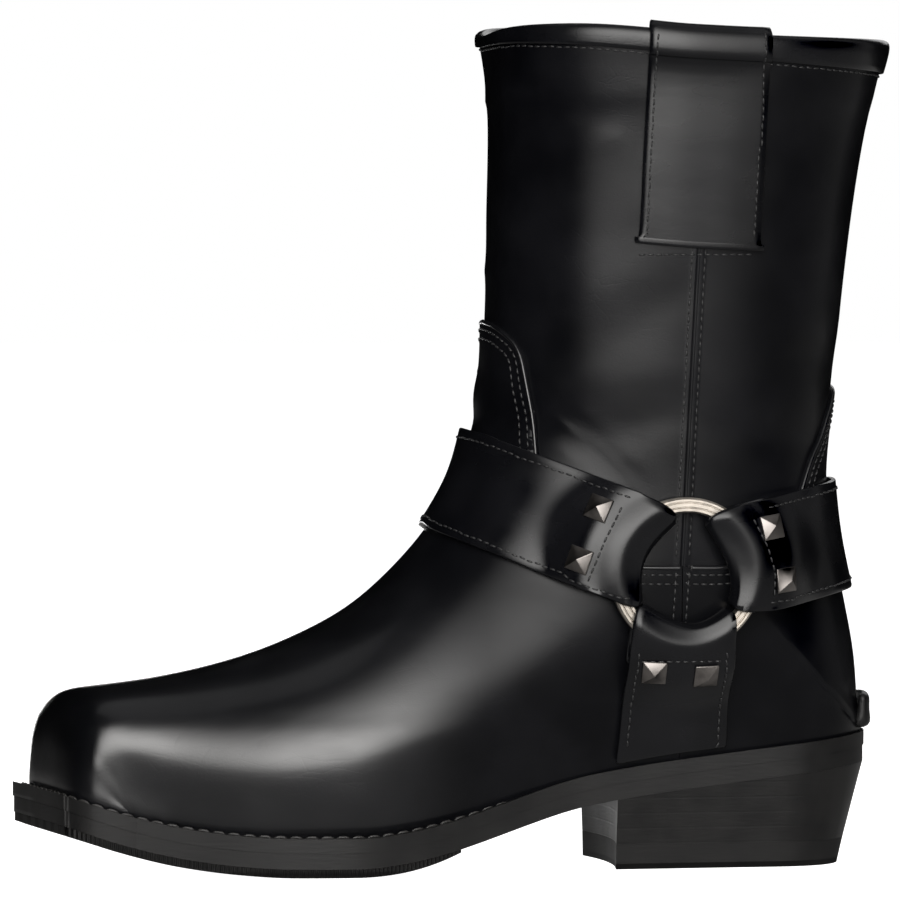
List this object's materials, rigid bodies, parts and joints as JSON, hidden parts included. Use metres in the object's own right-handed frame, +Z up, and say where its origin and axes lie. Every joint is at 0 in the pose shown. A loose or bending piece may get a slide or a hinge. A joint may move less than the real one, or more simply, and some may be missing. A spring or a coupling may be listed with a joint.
{
  "type": "square-toe boot",
  "caption": "Left ankle-height pull-on harness boot with a square toe, welted sole, stacked heel, ring-linked straps, pyramid studs and pull straps.",
  "frame": {"origin": "centre of the footprint box on the floor", "axes": "+Z up, toe toward -X, outer side of the foot toward -Y"},
  "size_m": [0.3056, 0.1143, 0.296],
  "materials": {
    "upper_leather": "black polished smooth leather with a fine grain",
    "insole_leather": "matt dark leather",
    "sole_edge": "black inked and waxed layered leather edge",
    "sole_rubber": "black matt rubber",
    "strap_leather": "black polished harness leather with stitched edges",
    "ring_metal": "warm pale nickel plate with fine turned grooves",
    "stud_metal": "dark gunmetal plate, softly polished"
  },
  "bodies": {
    "root": {"upper": "upper_leather", "insole": "insole_leather", "welt": "sole_edge", "outsole": "sole_edge", "half_sole": "sole_rubber", "heel_stack": "sole_edge", "heel_lift": "sole_rubber", "vamp": "upper_leather", "counter": "upper_leather", "collar_binding": "upper_leather", "pull_strap_outer": "strap_leather", "pull_strap_inner": "strap_leather", "harness_front": "strap_leather", "harness_back": "strap_leather", "harness_side_outer": "strap_leather", "harness_side_inner": "strap_leather", "ring_outer": "ring_metal", "ring_inner": "ring_metal", "stud_front_outer_1": "stud_metal", "stud_front_outer_2": "stud_metal", "stud_back_outer_3": "stud_metal", "stud_back_outer_4": "stud_metal", "stud_side_outer_5": "stud_metal", "stud_side_outer_6": "stud_metal", "stud_front_inner_1": "stud_metal", "stud_front_inner_2": "stud_metal", "stud_back_inner_3": "stud_metal", "stud_back_inner_4": "stud_metal", "stud_side_inner_5": "stud_metal", "stud_side_inner_6": "stud_metal", "heel_ledge": "sole_edge"}
  },
  "joints": []
}
